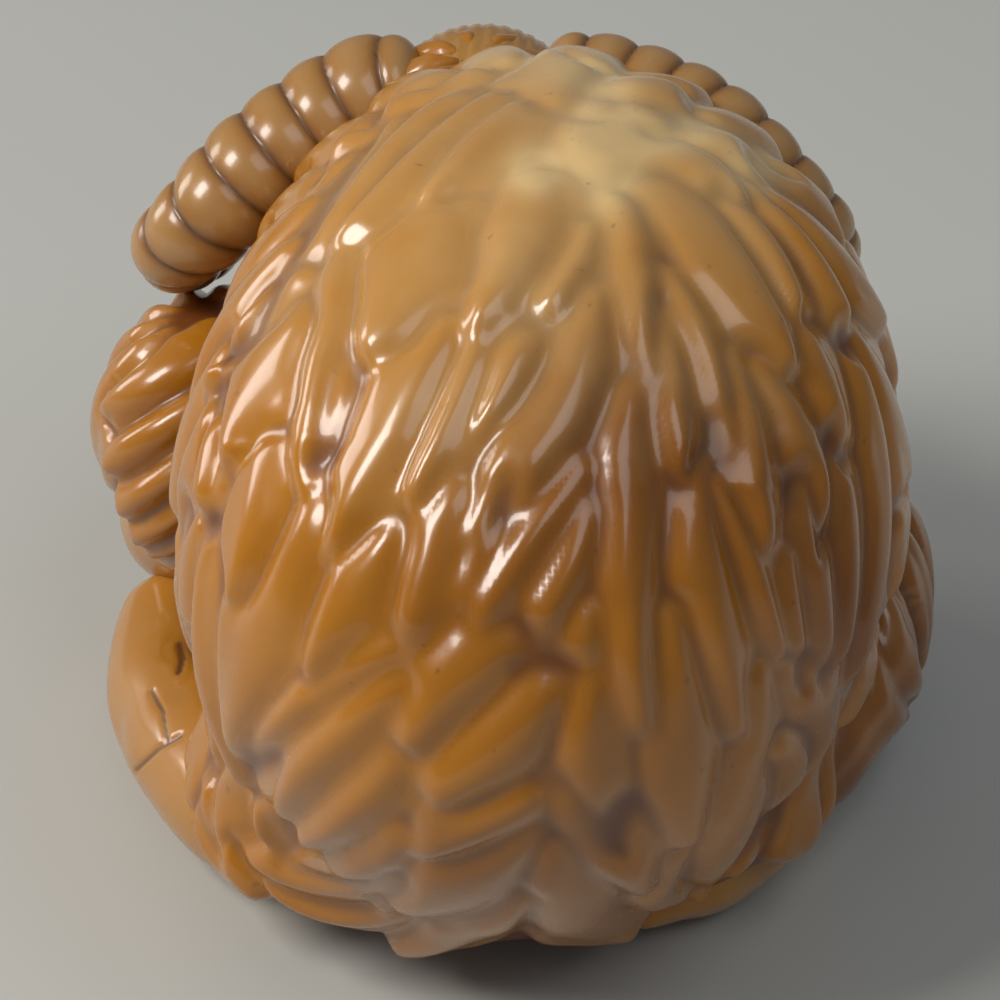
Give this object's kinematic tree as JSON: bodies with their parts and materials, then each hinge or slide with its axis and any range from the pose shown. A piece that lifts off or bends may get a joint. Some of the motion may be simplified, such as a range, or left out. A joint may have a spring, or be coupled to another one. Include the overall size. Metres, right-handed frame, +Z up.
{
  "type": "netsuke",
  "caption": "Small rounded toggle carved as a recumbent long-haired goat with curled horns and folded legs, flat underneath, with cord holes in its underside.",
  "frame": {"origin": "middle of the carving's box, on the flat it rests on", "axes": "+Y toward the goat's rump, +X toward the goat's left side, +Z up"},
  "size_m": [0.0382, 0.0473, 0.0345],
  "materials": {
    "goat": "polished, slightly translucent ivory-like material, stained amber to brown in the grooves and worn to cream on the high parts"
  },
  "bodies": {
    "root": {"goat": "goat"}
  },
  "joints": []
}
